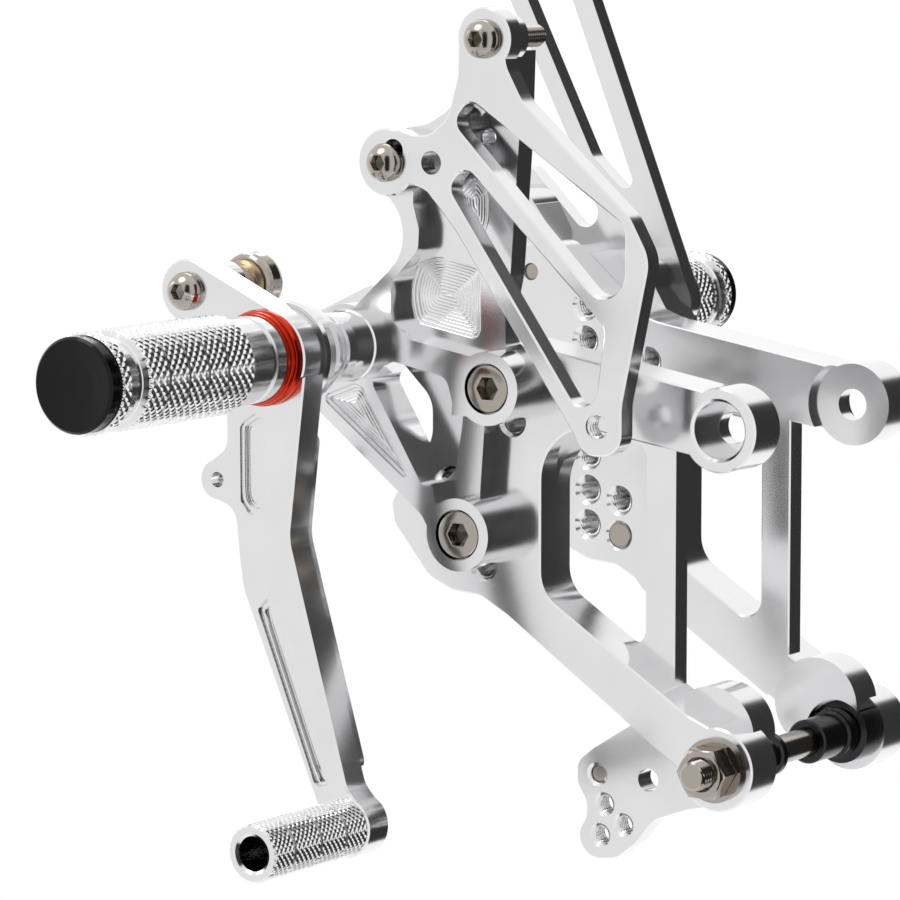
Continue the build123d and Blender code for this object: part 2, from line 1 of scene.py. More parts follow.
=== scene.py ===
import json
import math
import bpy
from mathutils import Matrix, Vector


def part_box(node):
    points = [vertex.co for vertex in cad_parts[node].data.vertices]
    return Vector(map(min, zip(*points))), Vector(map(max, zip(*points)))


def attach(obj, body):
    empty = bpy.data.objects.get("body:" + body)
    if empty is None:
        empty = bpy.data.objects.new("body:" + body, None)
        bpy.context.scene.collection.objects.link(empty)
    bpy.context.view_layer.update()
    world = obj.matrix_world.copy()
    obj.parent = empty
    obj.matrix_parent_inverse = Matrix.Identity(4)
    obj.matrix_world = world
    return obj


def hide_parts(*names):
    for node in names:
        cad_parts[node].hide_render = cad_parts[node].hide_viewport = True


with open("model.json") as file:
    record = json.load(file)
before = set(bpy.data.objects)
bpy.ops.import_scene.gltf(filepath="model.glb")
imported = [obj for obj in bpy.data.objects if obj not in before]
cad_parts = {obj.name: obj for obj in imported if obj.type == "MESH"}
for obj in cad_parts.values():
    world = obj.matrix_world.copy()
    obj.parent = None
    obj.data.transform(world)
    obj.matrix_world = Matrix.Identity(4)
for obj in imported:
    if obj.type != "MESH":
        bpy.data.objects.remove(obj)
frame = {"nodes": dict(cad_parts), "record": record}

bl_info = {
    "name": "Rear Set Dresser",
    "version": (1, 0, 0),
    "blender": (4, 5, 0),
    "location": "3D View > Sidebar > Rear Set",
    "description": "Adds knurls, threads, screws, milled pockets and finishes to a pair of rear sets",
    "category": "Object",
}

MM = 0.001
SIDES = ("left", "right")

# Places are x and z in mm, as in the CAD source.  Distances from the middle
# plane are in mm too and grow outwards on both sides.
PEG_FACE = 56.0
GUARD_FACE = 62.0
COUNTERBORE = 8.2
LEVER_FACE = {"left": 94.0, "right": 75.0}
LEVER_AXIS = {"left": (-110.4, 108.5), "right": (-124.3, 106.0)}
LEVER_TURN = {"left": 0.0, "right": -88.0}
PLATE_SCREWS = {"left": [(-73.9, 58.9), (-64.5, 99.3)], "right": [(-73.9, 48.9), (-64.5, 89.3)]}
GUARD_SCREWS = {"left": [(-61.5, 193.5), (-92.9, 159.6)], "right": [(-120.6, 136.8), (-95.0, 118.8)]}
GUARD_TIPS = {"left": (-25.7, 92.2), "right": (-72.9, 113.4)}
TAPPED = [
    (-73.9, 58.9), (-73.9, 48.9), (-84.4, 71.3), (-84.4, 61.3), (-84.4, 51.3), (-64.5, 99.3),
    (-64.5, 89.3), (-75.0, 101.7), (-75.0, 91.7), (-85.5, 104.1), (-85.5, 114.1),
]
OPEN_TAPPED = {side: [at for at in TAPPED if at not in PLATE_SCREWS[side]] for side in SIDES}
FLANGE_TAPPED = [(-40.3, -15.2), (-41.6, -23.9), (-34.2, -20.3)]
PLATE_TAPPED = (-67.8, 166.6)

# From where to where a thread lines the holes of each plate
BASE_SPAN = (28.5, 42.0)
TIP_SPAN = (56.4, 61.6)
FLANGE_SPAN = (27.9, 33.2)
PLATE_SPAN = (43.4, 49.7)

# Socket screws: radius of shank and head, height of the head, width and depth
# of the socket, pitch, then core radius and thread depth of the tapped hole
M8 = {"shank": 4.0, "head": 6.5, "high": 8.0, "width": 6.0, "deep": 4.5,
      "pitch": 1.25, "core": 3.4, "cut": 0.46}
M6 = {"shank": 3.0, "head": 5.25, "high": 4.4, "width": 4.0, "deep": 2.6,
      "pitch": 1.0, "core": 2.5, "cut": 0.36}
# Length under the head and length of the thread
PLATE_SCREW = (20.0, 14.0)
HIGH_GUARD_SCREW = (27.0, 18.0)
LOW_GUARD_SCREW = (18.0, 12.0)
LINK_THREAD = 8.0

# Axle: radius of the tip, from where to where the thread runs, radius of the
# plain part; bore of the nut; width over the flats, and height of the head
AXLE_TIP_R = 3.2
AXLE_THREAD = (0.6, 20.6)
AXLE_R = 3.95
NUT_BORE = 4.02
HEX_WIDTH = 13.0
HEX_HIGH = 5.3

# Footpeg: radius of the knurl, then pairs of radius and distance from the face
# against the ring, and from the last band for the polished waist
PEG_R = 13.4
PEG_NECK = ((0, 0), (11.3, 0), (11.8, 0.5), (11.8, 4.1), (10.8, 4.6), (10.8, 5.8), (11.8, 6.3),
            (11.8, 14.8), (12.2, 15.2), (12.6, 16.0), (12.8, 16.7))
PEG_WAIST = ((12.7, 0), (11.4, 0.7), (11.2, 1.0), (11.2, 6.3), (11.6, 6.9), (12.8, 7.7))
# Start of the knurl; start, width and number of its bands; depth and half
# width of the grooves between them, and how near the knurl comes; gaps before
# and after the last knurl; radius lost at the cap
PEG_KNURL = 17.0
PEG_BANDS = (19.7, 8.42, 5)
PEG_GROOVE = (1.0, 0.4, 0.55)
PEG_LAST_KNURL = (7.9, 0.3)
PEG_END = 0.6

# Toe peg: radius of the knurl and the bore, where the bore and the grooves
# are, and the grooves' sizes as above
TOE_R = 7.75
TOE_BORE = 4.7
TOE_FLOOR = 6.0
TOE_GROOVES = (9.2, 20.8, 32.9)
TOE_GROOVE = (0.95, 0.45, 0.7)

# Pockets: name, distance of the mouth, depth, steps, height of the cutter
# rings, corners of the outline
PLATE_POCKETS = (
    ("arm_pocket", 56.0, 1.6, 2, 0.24, [(-119.2, 93.9), (-107.6, 98.4), (-105, 97.4), (-86.7, 69.6)]),
    ("square_pocket", 50.0, 1.2, 3, 0.15,
     [(-91, 131.5), (-84.5, 134), (-70.3, 131.3), (-70.1, 111.3), (-91.5, 115.2), (-93.4, 123.5)]),
    ("oval_pocket", 50.0, 1.2, 2, 0.24,
     [(-78, 151.2), (-72.2, 156.6), (-67.6, 151.5), (-67.6, 143.8), (-70.2, 137.6), (-77.2, 145.6)]),
)
# The same for both levers, on the hanging left one; their mouth is the lever's face
LEVER_POCKETS = (
    ("hub_pocket", 2.4, 2, 0.06,
     [(-119.1, 90), (-114.3, 93.2), (-107, 93.2), (-103.6, 88.6), (-111.2, 66.4), (-116, 65.4),
      (-119, 69)]),
    ("toe_pocket", 2.0, 2, 0.06,
     [(-113.2, 40.2), (-110, 43.6), (-101.6, 37), (-89.2, -5.2), (-94.2, -6.8)]),
)

# Points round a turned piece
PEG_COLUMNS = 248
TOE_COLUMNS = 200
SCREW_COLUMNS = 48
THREAD_COLUMNS = 36
# Points from the bottom of a knurl groove to the top, of which so many climb
KNURL_STEPS = 4
KNURL_FLANK = 2
# Rows for one turn of a thread
THREAD_STEPS = 6
# Edges are sharp from these angles on, in degrees
KNURL_SHARP = 16
SCREW_SHARP = 22
LINER_SHARP = 38
POCKET_SHARP = 60
# Attributes that only the node trees read
HELPERS = ("column", "row", "aside", "split", "wall")


# Small helpers

def srgb(text):
    """Hex colour to linear red, green, blue and alpha."""
    def one(v):
        return v / 12.92 if v <= 0.04045 else ((v + 0.055) / 1.055) ** 2.4
    text = text.lstrip("#")
    return tuple(one(int(text[i:i + 2], 16) / 255) for i in (0, 2, 4)) + (1.0,)


def add_node(tree, kind, inputs=None, **settings):
    """Adds a node with its settings; an input takes a value, an output, or a node's first output."""
    node = tree.nodes.new(kind)
    for key, value in settings.items():
        setattr(node, key, value)
    for key, source in (inputs or {}).items():
        if isinstance(source, bpy.types.Node):
            source = source.outputs[0]
        if isinstance(source, bpy.types.NodeSocket):
            tree.links.new(source, node.inputs[key])
        else:
            node.inputs[key].default_value = source
    return node


def side_sign(side):
    """Which way along Y is outwards."""
    return -1.0 if side == "left" else 1.0


def spot(at):
    """A place in mm as metres."""
    return at[0] * MM, at[1] * MM


def lever_spot(side, at):
    """A place on the hanging left lever, moved to where this side's lever has it."""
    home, axis = LEVER_AXIS["left"], LEVER_AXIS[side]
    a = math.radians(LEVER_TURN[side])
    dx, dz = at[0] - home[0], at[1] - home[1]
    return axis[0] + math.cos(a) * dx - math.sin(a) * dz, axis[1] + math.sin(a) * dx + math.cos(a) * dz


def node_axis(name):
    """A round node along Y: the place of its axis, and its ends in mm from the middle plane."""
    low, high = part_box(name)
    start, end = sorted((abs(low.y) / MM, abs(high.y) / MM))
    return ((low.x + high.x) / 2, (low.z + high.z) / 2), start, end


def mesh_piece(name, verts, faces, material):
    """A new object in the scene, with its place in its mesh."""
    mesh = bpy.data.meshes.new(name)
    mesh.from_pydata([tuple(v) for v in verts], [], faces)
    mesh.validate()
    mesh.materials.append(material)
    piece = bpy.data.objects.new(name, mesh)
    bpy.context.scene.collection.objects.link(piece)
    return piece


def mark_points(piece, name, kind, values):
    """Stores a value for each point, or a flag for each face, for the node trees."""
    domain = "FACE" if kind == "BOOLEAN" else "POINT"
    key = "vector" if kind == "FLOAT_VECTOR" else "value"
    piece.data.attributes.new(name, kind, domain).data.foreach_set(key, values)


def settle(piece, body, slot, *replaced):
    """Rides the piece on its body and hides the nodes that it stands for; the slot is not used."""
    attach(piece, body)
    if replaced:
        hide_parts(*replaced)


# Turned pieces

def hexed(radius, angle):
    """Distance from the middle of a hexagon to its edge, for a given half width."""
    step = math.pi / 3
    return radius / math.cos((angle % step) - step / 2)


def groove_gap(place):
    """Steps from a place to the nearest knurl groove of one direction."""
    return KNURL_STEPS - abs(place % (2 * KNURL_STEPS) - KNURL_STEPS)


def turned_mesh(name, bodies, out, columns, material, closed=False, inward=False):
    """Turns rows of (radius, distance along the axis, kind) about axes along Y.

    Each body is a place and its rows.  A kind of "round" is plain, "hex" makes
    the row six-sided, a measure makes it six-sided with its corners turned down
    to that radius, and a whole number marks a row that a node tree shapes later.
    """
    verts, faces, marks, asides, splits = [], [], [], [], []
    lean = -1.0 if inward else 1.0
    for at, rows in bodies:
        starts = []
        for r, y, kind in rows:
            starts.append(len(verts))
            if r == 0:
                verts.append((at[0], out * y * MM, at[1]))
                marks.append((-1, -1))
                asides += (0.0, 0.0, 0.0)
                continue
            marked = isinstance(kind, int)
            limit = kind if isinstance(kind, float) else math.inf
            for i in range(columns):
                a = 2 * math.pi * i / columns
                reach = (r if marked or kind == "round" else min(hexed(r, a), limit)) * MM
                verts.append((at[0] + reach * math.cos(a), out * y * MM, at[1] + reach * math.sin(a)))
                marks.append((i, kind) if marked else (-1, -1))
                asides += (lean * math.cos(a), 0.0, lean * math.sin(a))
        for k in range(len(rows) if closed else len(rows) - 1):
            after = (k + 1) % len(rows)
            low, high = starts[k], starts[after]
            row = rows[k][2] if isinstance(rows[k][2], int) else 0
            for i in range(columns):
                j = (i + 1) % columns
                if rows[k][0] == 0:
                    face = (low, high + j, high + i)
                elif rows[after][0] == 0:
                    face = (low + i, low + j, high)
                else:
                    face = (low + i, low + j, high + j, high + i)
                faces.append(face if out < 0 else face[::-1])
                # Each square is cut along the knurl groove that is nearer to it.
                one, two = groove_gap(i + row + 1), groove_gap(i - row)
                splits.append(one < two if out > 0 else two < one)
    piece = mesh_piece(name, verts, faces, material)
    mark_points(piece, "column", "FLOAT", [float(m[0]) for m in marks])
    mark_points(piece, "row", "FLOAT", [float(m[1]) for m in marks])
    mark_points(piece, "aside", "FLOAT_VECTOR", asides)
    mark_points(piece, "split", "BOOLEAN", splits)
    return piece


def plain_rows(pairs, start=0.0):
    """Round rows from pairs of radius and distance from the start."""
    return [(r, start + y, "round") for r, y in pairs]


def marked_rows(radius, start, end, unit):
    """Evenly spaced rows for a node tree to shape, as many as fit."""
    count = max(2, int(round(abs(end - start) / unit)))
    return [(radius, start + (end - start) * j / count, j) for j in range(count + 1)]


# Node trees for what repeats

def start_tree(name, sizes):
    """A geometry node tree with named inputs; returns it and its first node."""
    tree = bpy.data.node_groups.new(name, "GeometryNodeTree")
    tree.interface.new_socket("Geometry", in_out="INPUT", socket_type="NodeSocketGeometry")
    for title in sizes:
        tree.interface.new_socket(title, in_out="INPUT", socket_type="NodeSocketFloat")
    tree.interface.new_socket("Finish", in_out="INPUT", socket_type="NodeSocketMaterial")
    tree.interface.new_socket("Geometry", in_out="OUTPUT", socket_type="NodeSocketGeometry")
    return tree, add_node(tree, "NodeGroupInput")


def shift_points(tree, given, mark, share, depth):
    """Moves every marked point along its aside, by a share of the depth."""
    marked = add_node(tree, "ShaderNodeMath", {0: mark, 1: -0.5}, operation="GREATER_THAN")
    full = add_node(tree, "ShaderNodeMath", {0: share, 1: given.outputs[depth]}, operation="MULTIPLY")
    reach = add_node(tree, "ShaderNodeMath", {0: full, 1: marked}, operation="MULTIPLY")
    aside = add_node(tree, "GeometryNodeInputNamedAttribute", {"Name": "aside"}, data_type="FLOAT_VECTOR")
    move = add_node(tree, "ShaderNodeVectorMath", {0: aside, "Scale": reach}, operation="SCALE")
    return add_node(tree, "GeometryNodeSetPosition", {"Geometry": given, "Offset": move})


def end_tree(tree, given, shape):
    """Makes the shape real and gives it its finish."""
    finish = given.outputs["Finish"]
    real = add_node(tree, "GeometryNodeRealizeInstances", {0: shape})
    dressed = add_node(tree, "GeometryNodeSetMaterial", {"Geometry": real, "Material": finish})
    add_node(tree, "NodeGroupOutput", {0: dressed})
    return tree


def knurl_tree():
    """Sinks the crossing grooves of a diamond knurl into marked rows."""
    tree, given = start_tree("Diamond knurl", ("Depth",))
    column = add_node(tree, "GeometryNodeInputNamedAttribute", {"Name": "column"}, data_type="FLOAT")
    row = add_node(tree, "GeometryNodeInputNamedAttribute", {"Name": "row"}, data_type="FLOAT")
    gaps = []
    for way in ("ADD", "SUBTRACT"):
        place = add_node(tree, "ShaderNodeMath", {0: column, 1: row}, operation=way)
        gaps.append(add_node(tree, "ShaderNodeMath", {0: place, 1: KNURL_STEPS}, operation="PINGPONG"))
    nearer = add_node(tree, "ShaderNodeMath", {0: gaps[0], 1: gaps[1]}, operation="MINIMUM")
    climb = add_node(tree, "ShaderNodeMath", {0: nearer, 1: KNURL_FLANK}, operation="MINIMUM")
    rise = add_node(tree, "ShaderNodeMath", {0: climb, 1: KNURL_FLANK}, operation="DIVIDE")
    share = add_node(tree, "ShaderNodeMath", {0: rise, 1: 1.0}, operation="SUBTRACT")
    moved = shift_points(tree, given, column, share, "Depth")
    split = add_node(tree, "GeometryNodeInputNamedAttribute", {"Name": "split"}, data_type="BOOLEAN")
    # The marked squares are cut one way and the others the other way.
    one_way = add_node(tree, "GeometryNodeTriangulate", {"Mesh": moved, "Selection": split},
                       quad_method="FIXED")
    both_ways = add_node(tree, "GeometryNodeTriangulate", {"Mesh": one_way}, quad_method="FIXED_ALTERNATE")
    return end_tree(tree, given, both_ways)


def thread_tree():
    """Sinks the winding groove of a screw thread into marked rows."""
    tree, given = start_tree("Screw thread", ("Depth", "Columns"))
    column = add_node(tree, "GeometryNodeInputNamedAttribute", {"Name": "column"}, data_type="FLOAT")
    row = add_node(tree, "GeometryNodeInputNamedAttribute", {"Name": "row"}, data_type="FLOAT")
    along = add_node(tree, "ShaderNodeMath", {0: row, 1: THREAD_STEPS}, operation="DIVIDE")
    around = add_node(tree, "ShaderNodeMath", {0: column, 1: given.outputs["Columns"]}, operation="DIVIDE")
    turns = add_node(tree, "ShaderNodeMath", {0: along, 1: around}, operation="ADD")
    # The flanks climb over the middle half of the way, between a flat root and a flat crest.
    swing = add_node(tree, "ShaderNodeMath", {0: turns, 1: 0.5}, operation="PINGPONG")
    steep = add_node(tree, "ShaderNodeMath", {0: swing, 1: 4.0}, operation="MULTIPLY")
    ramp = add_node(tree, "ShaderNodeMath", {0: steep, 1: 0.5}, operation="SUBTRACT")
    root = add_node(tree, "ShaderNodeMath", {0: ramp, 1: 0.0}, operation="MAXIMUM")
    ridge = add_node(tree, "ShaderNodeMath", {0: root, 1: 1.0}, operation="MINIMUM")
    share = add_node(tree, "ShaderNodeMath", {0: ridge, 1: 1.0}, operation="SUBTRACT")
    return end_tree(tree, given, shift_points(tree, given, column, share, "Depth"))


def ring_tree():
    """Raises the rounded rings that a cutter leaves on a pocket's floor."""
    tree, given = start_tree("Cutter rings", ("Relief", "Pitch"))
    wall = add_node(tree, "GeometryNodeInputNamedAttribute", {"Name": "wall"}, data_type="FLOAT")
    rings = add_node(tree, "ShaderNodeMath", {0: wall, 1: given.outputs["Pitch"]}, operation="DIVIDE")
    angle = add_node(tree, "ShaderNodeMath", {0: rings, 1: math.pi}, operation="MULTIPLY")
    wave = add_node(tree, "ShaderNodeMath", {0: angle}, operation="SINE")
    share = add_node(tree, "ShaderNodeMath", {0: wave, 1: wave}, operation="MULTIPLY")
    return end_tree(tree, given, shift_points(tree, given, wall, share, "Relief"))


def run_tree(piece, tree, values, sharp):
    """Runs a node tree on the piece, keeps the result as its plain mesh and takes the modifier off."""
    step = piece.modifiers.new(tree.name, "NODES")
    step.node_group = tree
    for item in tree.interface.items_tree:
        if item.in_out == "INPUT" and item.name in values:
            step[item.identifier] = values[item.name]
    bpy.context.view_layer.update()
    graph = bpy.context.evaluated_depsgraph_get()
    mesh = bpy.data.meshes.new_from_object(piece.evaluated_get(graph), depsgraph=graph)
    piece.modifiers.clear()
    piece.data = mesh
    mesh.name = piece.name
    for name in HELPERS:
        if name in mesh.attributes:
            mesh.attributes.remove(mesh.attributes[name])
    mesh.polygons.foreach_set("use_smooth", [True] * len(mesh.polygons))
    mesh.set_sharp_from_angle(angle=math.radians(sharp))


# Finishes

FINISHES = {}
WHITE = (1.0, 1.0, 1.0, 1.0)
# Scale of a wave texture whose bands are one metre apart
WAVE_SCALE = 0.314
# Anodising clouds, in cells a metre: about 18 mm each
CLOUD_SCALE = 55.0
# Polishing grain, in cells a metre.  The real grain is finer than a pixel, so
# it is drawn about 1 mm wide to show.
GRAIN_SCALE = 900.0
GRAIN_REACH = 0.03
CUTTER_DEPTH = 0.05 * MM


def new_material(name):
    """An empty material and its node tree."""
    mat = bpy.data.materials.new(name)
    mat.use_nodes = True
    mat.node_tree.nodes.clear()
    return mat, mat.node_tree


def cut_finish(name, light, dark, rough_low, rough_high, line_mm, relief):
    """Cut and clear anodised aluminium: soft clouds and faint diagonal lines."""
    mat, tree = new_material(name)
    coords = add_node(tree, "ShaderNodeTexCoord").outputs["Object"]
    clouds = add_node(tree, "ShaderNodeTexNoise", {"Vector": coords, "Scale": CLOUD_SCALE, "Detail": 3.0})
    tint = add_node(tree, "ShaderNodeMix", {0: clouds, 6: light, 7: dark}, data_type="RGBA")
    rough = add_node(tree, "ShaderNodeMapRange",
                     {"Value": clouds, "To Min": rough_low, "To Max": rough_high})
    # One wave is one pass of the cutter.  Real passes are finer than a pixel,
    # so they are drawn wider here.
    bands = WAVE_SCALE / (line_mm * MM)
    lines = add_node(tree, "ShaderNodeTexWave",
                     {"Vector": coords, "Scale": bands, "Distortion": 0.6, "Detail": 1.0},
                     wave_type="BANDS", bands_direction="DIAGONAL")
    bump = add_node(tree, "ShaderNodeBump",
                    {"Height": lines.outputs["Fac"], "Strength": relief, "Distance": CUTTER_DEPTH})
    shader = add_node(tree, "ShaderNodeBsdfPrincipled",
                      {"Base Color": tint.outputs[2], "Metallic": 1.0, "Roughness": rough, "Normal": bump})
    add_node(tree, "ShaderNodeOutputMaterial", {"Surface": shader})
    return mat


def even_finish(name, colour, metallic, roughness, level=0.5):
    """A small part's even colour, with a fine grain in its roughness."""
    mat, tree = new_material(name)
    coords = add_node(tree, "ShaderNodeTexCoord").outputs["Object"]
    grain = add_node(tree, "ShaderNodeTexNoise", {"Vector": coords, "Scale": GRAIN_SCALE, "Detail": 2.0})
    rough = add_node(tree, "ShaderNodeMapRange",
                     {"Value": grain, "To Min": roughness - GRAIN_REACH, "To Max": roughness + GRAIN_REACH})
    shader = add_node(tree, "ShaderNodeBsdfPrincipled",
                      {"Base Color": srgb(colour), "Metallic": metallic, "Roughness": rough,
                       "Specular IOR Level": level})
    add_node(tree, "ShaderNodeOutputMaterial", {"Surface": shader})
    return mat


def make_finishes(sizes):
    """Makes every finish, by the slot that the part's record gives it."""
    light, dark = tuple(sizes.alloy_light), tuple(sizes.alloy_dark)
    # Milled, polished and clear anodised: a bright, cool, slightly clouded mirror
    # whose walls go nearly black where the room is dark.
    FINISHES["machined_alloy"] = cut_finish("Machined aluminium", light, dark, 0.13, 0.19, 0.45, 0.04)
    # Turned on a lathe: the same metal a little smoother, so knurls sparkle.
    FINISHES["turned_alloy"] = cut_finish("Turned aluminium", light, dark, 0.12, 0.17, 0.4, 0.02)
    # Formed and polished: a warmer, darker grey than the aluminium round it.
    FINISHES["stainless"] = even_finish("Polished stainless steel", "#ACA59D", 1.0, 0.15)
    # Moulded in a polished mould: near black, with one dim, clean highlight.
    FINISHES["black_cap"] = even_finish("Moulded black polymer", "#080707", 0.0, 0.14, level=0.22)
    # Turned, then dyed and sealed: a metallic red that is deep in the grooves.
    FINISHES["red_anodised"] = even_finish("Red anodised aluminium", "#C9371F", 1.0, 0.22)
    # Turned, then dyed black: dark grey metal that still carries sharp highlights.
    FINISHES["black_anodised"] = even_finish("Black anodised aluminium", "#343335", 0.9, 0.20)
    # Turned and left bare: a dull, brownish gold beside the steel.
    FINISHES["bronze"] = even_finish("Turned bearing bronze", "#B39C7C", 1.0, 0.28)


class REARSET_PG_finish(bpy.types.PropertyGroup):
    """Colours of the aluminium."""
    alloy_light: bpy.props.FloatVectorProperty(
        name="Alloy light", description="Lighter tone of the aluminium",
        default=srgb("#EDEDEE"), size=4, min=0.0, max=1.0, subtype="COLOR")
    alloy_dark: bpy.props.FloatVectorProperty(
        name="Alloy dark", description="Darker tone of the aluminium",
        default=srgb("#E2E2E3"), size=4, min=0.0, max=1.0, subtype="COLOR")


class REARSET_OT_finishes(bpy.types.Operator):
    """Gives every node of the CAD model its finish"""
    bl_idname = "rearset.finishes"
    bl_label = "Finishes"

    def execute(self, context):
        make_finishes(context.scene.rearset_finish)
        slots = {row["node"]: row["material_slot"] for row in frame["record"]["subparts"]}
        for name, node in frame["nodes"].items():
            node.data.materials.clear()
            node.data.materials.append(FINISHES[slots[name]])
        return {"FINISHED"}


# Footpegs and toe pegs

def footpeg_rows(start, end):
    """Rows of a footpeg from its face against the ring to the cap's seat, as in the CAD node."""
    unit = 2 * math.pi * PEG_R / PEG_COLUMNS
    first, band, count = PEG_BANDS
    drop, flat, edge = PEG_GROOVE
    grooves = [start + first + band * i for i in range(1, count + 1)]
    rows = plain_rows(PEG_NECK, start)
    low = start + PEG_KNURL
    for at in grooves:
        rows += marked_rows(PEG_R, low, at - edge, unit)
        if at != grooves[-1]:
            rows += plain_rows([(PEG_R - drop, at - flat), (PEG_R - drop, at + flat)])
        low = at + edge
    rows += plain_rows(PEG_WAIST, grooves[-1])
    rows += marked_rows(PEG_R, grooves[-1] + PEG_LAST_KNURL[0], end - PEG_LAST_KNURL[1], unit)
    return rows + plain_rows([(PEG_R - PEG_END, end), (0, end)])


def toe_peg_rows(start, end):
    """Rows of a hollow toe peg with four knurled bands."""
    unit = 2 * math.pi * TOE_R / TOE_COLUMNS
    drop, flat, edge = TOE_GROOVE
    rows = plain_rows([(0, start), (TOE_R - 0.4, start)])
    low = start + 0.3
    for at in [start + y for y in TOE_GROOVES] + [end + 0.2]:
        rows += marked_rows(TOE_R, low, min(at - edge, end - 0.5), unit)
        if at < end:
            rows += plain_rows([(TOE_R - drop, at - flat), (TOE_R - drop, at + flat)])
        low = at + edge
    rows += plain_rows([(TOE_R - 0.6, end), (TOE_BORE + 0.8, end), (TOE_BORE, end - 0.6)])
    return rows + plain_rows([(TOE_BORE, start + TOE_FLOOR), (0, start + TOE_FLOOR)])


class REARSET_PG_pegs(bpy.types.PropertyGroup):
    """Sizes of the knurls."""
    knurl_depth: bpy.props.FloatProperty(
        name="Knurl depth", description="Groove depth of the footpeg's knurl",
        default=0.36 * MM, min=0.1 * MM, max=0.8 * MM, unit="LENGTH")
    toe_knurl_depth: bpy.props.FloatProperty(
        name="Toe knurl depth", description="Groove depth of the toe peg's knurl",
        default=0.26 * MM, min=0.1 * MM, max=0.6 * MM, unit="LENGTH")


class REARSET_OT_footpegs(bpy.types.Operator):
    """Knurled footpegs and toe pegs in place of the plain ones"""
    bl_idname = "rearset.footpegs"
    bl_label = "Footpegs"

    def execute(self, context):
        tree = knurl_tree()
        sizes = context.scene.rearset_pegs
        finish = FINISHES["turned_alloy"]
        for kind, shape, columns, depth in (
                ("footpeg", footpeg_rows, PEG_COLUMNS, sizes.knurl_depth),
                ("toe_peg", toe_peg_rows, TOE_COLUMNS, sizes.toe_knurl_depth)):
            for side in SIDES:
                node = side + "_" + kind
                place, start, end = node_axis(node)
                piece = turned_mesh(side + "_knurled_" + kind, [(place, shape(start, end))],
                                    side_sign(side), columns, finish)
                run_tree(piece, tree, {"Depth": depth, "Finish": finish}, KNURL_SHARP)
                settle(piece, "plates" if kind == "footpeg" else side + "_lever_arm", "turned_alloy", node)
        return {"FINISHED"}


# Screws and threads

# Depth of a drill's cone over its radius, and a hexagon's corners over its flats
DRILL_SLOPE = 0.577
HEX_CORNER = 1.155
# How steeply a nut's corners are turned down
HEX_SLOPE = 0.55


def screw_rows(seat, size, length, thread):
    """Rows of a socket screw from its tip to the drilled bottom of its socket."""
    shank, head, edge = size["shank"], size["head"], 0.15
    tip, top = seat - length, seat + size["high"]
    rows = plain_rows([(0, tip), (shank - 0.75, tip)])
    rows += marked_rows(shank, tip + 0.5, tip + thread, size["pitch"] / THREAD_STEPS)
    rows += plain_rows([(shank - 0.1, tip + thread + 0.3), (shank - 0.1, seat)])
    rows += plain_rows([(head - edge, seat), (head, seat + edge)])
    if size["high"] < head:
        # A button head: a dome that ends at the socket's rim.
        rim = 0.8
        bend = [math.radians(6 * i) for i in range(11)]
        rise = (size["high"] - rim) / math.sin(bend[-1])
        rows += plain_rows([(head * math.cos(t), seat + rim + rise * math.sin(t)) for t in bend])
    else:
        # A cap head: a cylinder with a rounded edge.
        rows += plain_rows([(head, top - 0.6), (head - 0.1, top - 0.3)])
        rows += plain_rows([(head - 0.3, top - 0.1), (head - 0.6, top)])
    socket, floor = size["width"] / 2, top - size["deep"]
    rows += [(socket + edge, top, "hex"), (socket, top - edge, "hex"), (socket, floor, "hex")]
    return rows + plain_rows([(0, floor - DRILL_SLOPE * socket)])


def hex_rows(low, high, width):
    """Rows of a six-sided nut or head with its corners turned down at both ends."""
    flat, corner = width / 2, width / 2 * HEX_CORNER
    inner, steps = flat - 0.25, 5
    climb = corner - inner
    cone = [(inner + climb * k / steps, HEX_SLOPE * climb * k / steps) for k in range(steps + 1)]
    rows = plain_rows([(flat - 0.3, low)])
    rows += [(flat, low + rise, limit) for limit, rise in cone]
    rows += [(flat, high - rise, limit) for limit, rise in cone[::-1]]
    return rows + plain_rows([(flat - 0.3, high)])


def liner_rows(size, start, end):
    """Closed profile of a thin threaded sleeve that lines a tapped hole."""
    hidden, crest = size["core"] - 0.012, size["core"] - size["cut"] - 0.03
    rows = plain_rows([(hidden, start), (hidden, end)])
    return rows + marked_rows(crest, end, start, size["pitch"] / THREAD_STEPS)


class REARSET_PG_screws(bpy.types.PropertyGroup):
    """Sizes of the threads."""
    thread_share: bpy.props.FloatProperty(
        name="Thread share", description="Depth of a thread as a share of its pitch",
        default=0.5, min=0.2, max=0.6, subtype="FACTOR")


